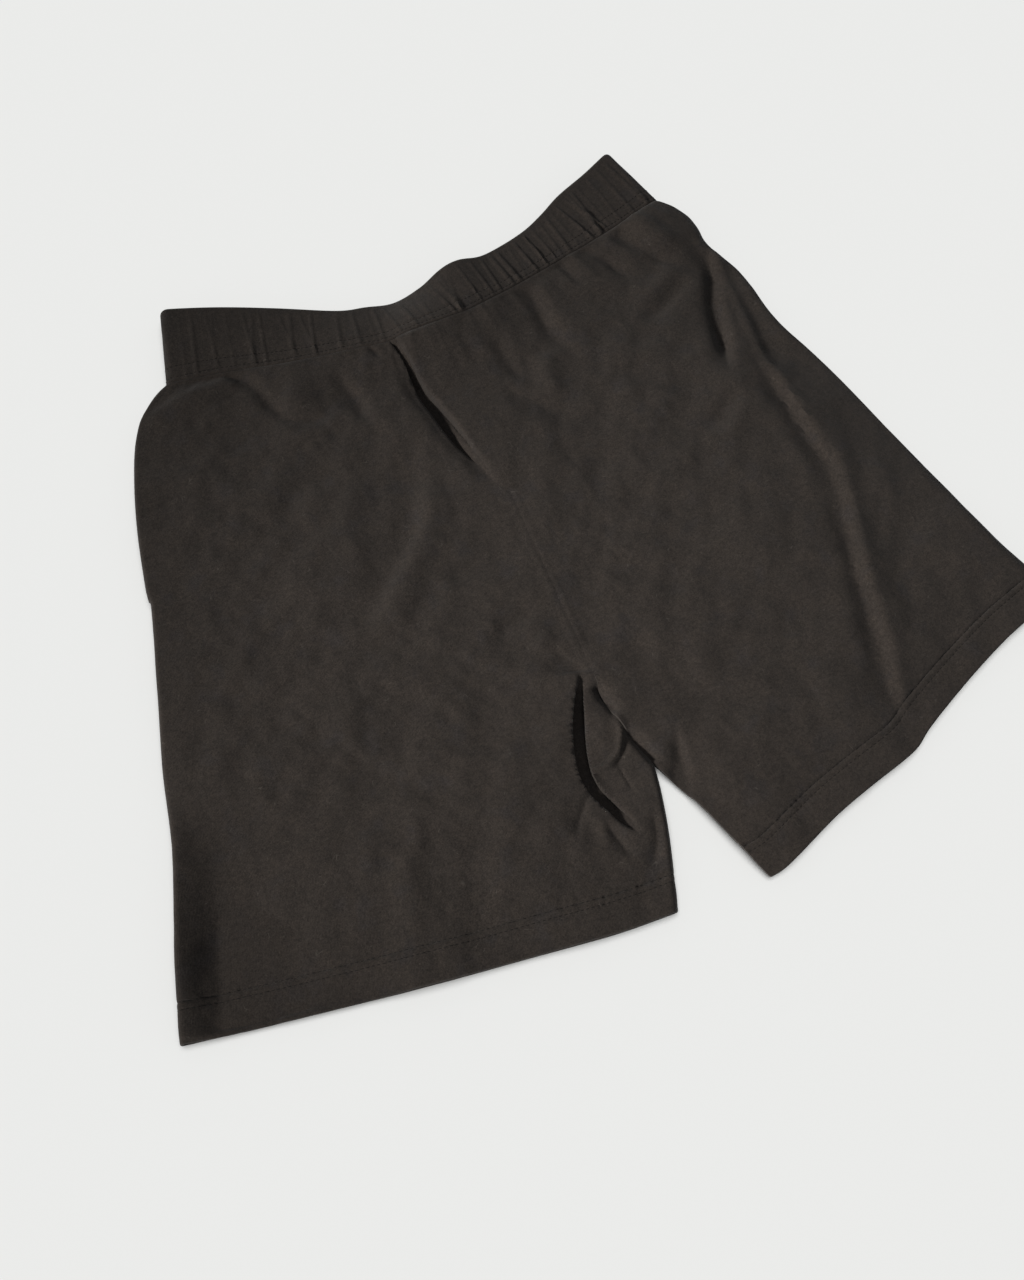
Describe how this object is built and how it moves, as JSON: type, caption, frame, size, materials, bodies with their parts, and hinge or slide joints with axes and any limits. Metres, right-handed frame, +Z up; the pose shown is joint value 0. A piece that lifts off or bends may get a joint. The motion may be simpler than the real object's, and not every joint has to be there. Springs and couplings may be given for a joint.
{
  "type": "boxing shorts",
  "caption": "Pull-on jersey boxing shorts laid flat front up, with an elasticated waistband, side seam pockets and stitched hems.",
  "frame": {"origin": "bottom centre of the box around the shorts as they lie flat", "axes": "+Z up out of the floor, the front side of the shorts facing up; +X from the wearer's right leg to the left leg, the widest way; +Y from the legs towards the waistband"},
  "size_m": [0.6058, 0.531, 0.0285],
  "materials": {
    "jersey": "matte brushed cotton jersey, charcoal",
    "pocketing": "smooth light jersey, black",
    "elastic": "ribbed woven elastic, off-white",
    "thread": "spun polyester sewing thread, black",
    "label": "satin ribbon, blank"
  },
  "bodies": {
    "root": {"waistband_casing": "jersey", "waistband_elastic": "elastic", "waist_stitching_upper": "thread", "waist_stitching_lower": "thread", "right_front_panel": "jersey", "left_front_panel": "jersey", "right_back_panel": "jersey", "left_back_panel": "jersey", "right_hem_turnup": "jersey", "left_hem_turnup": "jersey", "right_hem_stitching_upper": "thread", "right_hem_stitching_lower": "thread", "left_hem_stitching_upper": "thread", "left_hem_stitching_lower": "thread", "right_pocket_front_ply": "pocketing", "right_pocket_back_ply": "pocketing", "left_pocket_front_ply": "pocketing", "left_pocket_back_ply": "pocketing", "front_rise_seam": "thread", "back_rise_seam": "thread", "inseam_seam": "thread", "right_side_seam": "thread", "left_side_seam": "thread", "care_label": "label"}
  },
  "joints": []
}
